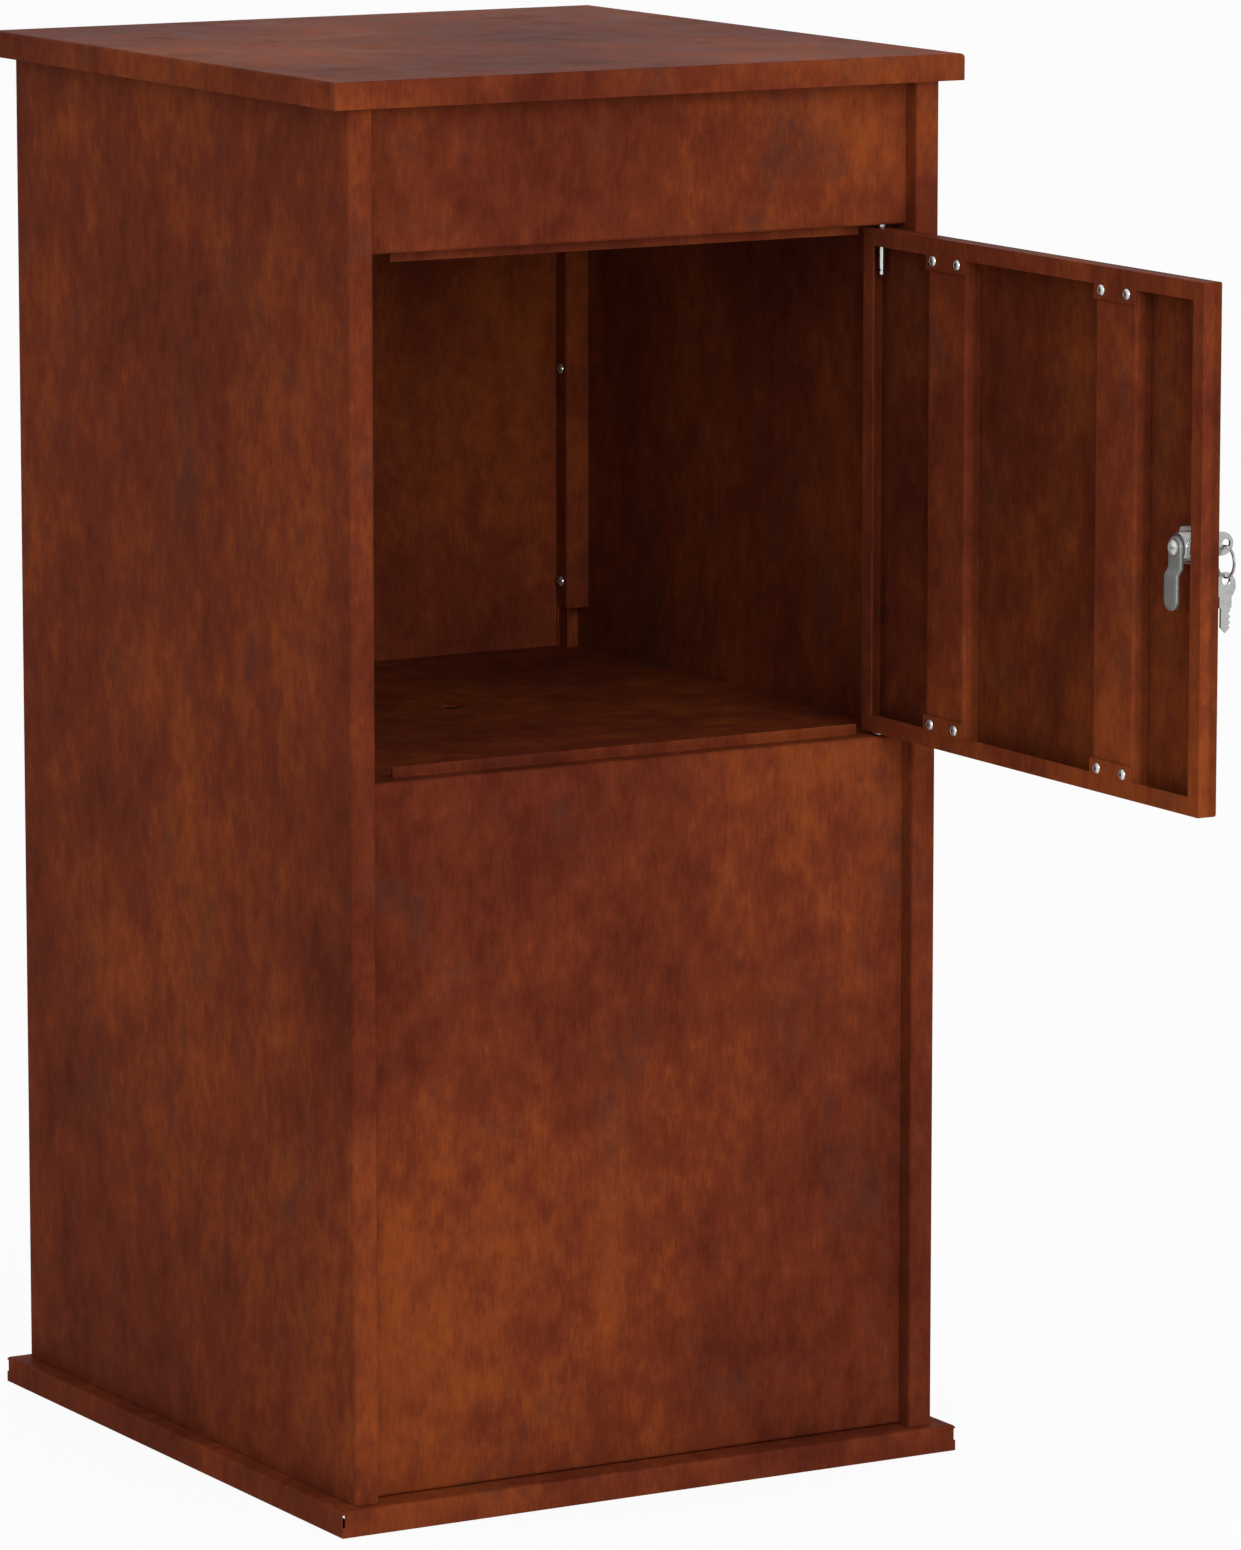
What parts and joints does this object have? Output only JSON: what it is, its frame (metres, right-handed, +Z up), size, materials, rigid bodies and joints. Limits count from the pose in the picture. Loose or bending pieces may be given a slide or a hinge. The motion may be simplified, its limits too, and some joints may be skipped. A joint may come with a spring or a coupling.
{
  "type": "parcel mailbox",
  "caption": "Free-standing folded-sheet mailbox with a rust-look finish, a hinged door with a cam lock and keys over a closed lower box.",
  "frame": {"origin": "on the floor, under the middle of the base tray's rear foot lip", "axes": "+Z up, -Y out of the front where the door is, +X to the right seen from the front (the hinge side)"},
  "size_m": [0.4, 0.7339, 0.805],
  "materials": {
    "cabinet_finish": "mottled rust-look coat, satin",
    "door_finish": "mottled rust-look coat, satin",
    "rivet_metal": "bright zinc",
    "pin_metal": "bright zinc",
    "lock_metal": "polished",
    "key_metal": "nickel plate"
  },
  "bodies": {
    "cabinet": {"roof_cap": "cabinet_finish", "base_tray": "cabinet_finish", "side_panel_left": "cabinet_finish", "side_panel_right": "cabinet_finish", "back_panel": "cabinet_finish", "front_fascia": "cabinet_finish", "lower_front_panel": "cabinet_finish", "shelf": "cabinet_finish", "hinge_pin_top": "pin_metal", "hinge_pin_bottom": "pin_metal", "rear_rivet_left_1": "rivet_metal", "rear_rivet_left_2": "rivet_metal", "rear_rivet_left_3": "rivet_metal", "rear_rivet_left_4": "rivet_metal", "rear_rivet_left_5": "rivet_metal", "rear_rivet_left_6": "rivet_metal", "rear_rivet_right_1": "rivet_metal", "rear_rivet_right_2": "rivet_metal", "rear_rivet_right_3": "rivet_metal", "rear_rivet_right_4": "rivet_metal", "rear_rivet_right_5": "rivet_metal", "rear_rivet_right_6": "rivet_metal"},
    "door": {"door_shell": "door_finish", "door_stiffener_hinge": "door_finish", "door_stiffener_lock": "door_finish", "door_rivet_upper_1": "rivet_metal", "door_rivet_upper_2": "rivet_metal", "door_rivet_upper_3": "rivet_metal", "door_rivet_upper_4": "rivet_metal", "door_rivet_lower_1": "rivet_metal", "door_rivet_lower_2": "rivet_metal", "door_rivet_lower_3": "rivet_metal", "door_rivet_lower_4": "rivet_metal", "lock_housing": "lock_metal", "lock_nut": "lock_metal"},
    "lock_cylinder": {"lock_plug": "lock_metal", "lock_cam": "lock_metal", "cam_screw": "lock_metal"},
    "key": {"key": "key_metal"},
    "key_ring_set": {"key_ring": "key_metal", "spare_key": "key_metal"}
  },
  "joints": [
    {"name": "door_hinge", "type": "hinge", "parent": "cabinet", "child": "door", "pos_m": [0.16113, -0.39075, 0.5635], "axis": [0, 0, 1], "range_deg": [-90, 15]},
    {"name": "lock_turn", "type": "hinge", "parent": "door", "child": "lock_cylinder", "pos_m": [0.16113, -0.70188, 0.5635], "axis": [-1, 0, 0], "range_deg": [0, 90]},
    {"name": "key_pull", "type": "slide", "parent": "lock_cylinder", "child": "key", "axis": [1, 0, 0], "range_m": [0, 0.016]},
    {"name": "spare_key_swing", "type": "hinge", "parent": "key", "child": "key_ring_set", "pos_m": [0.18548, -0.70188, 0.562], "axis": [0, -1, 0], "range_deg": [0, 70]}
  ]
}
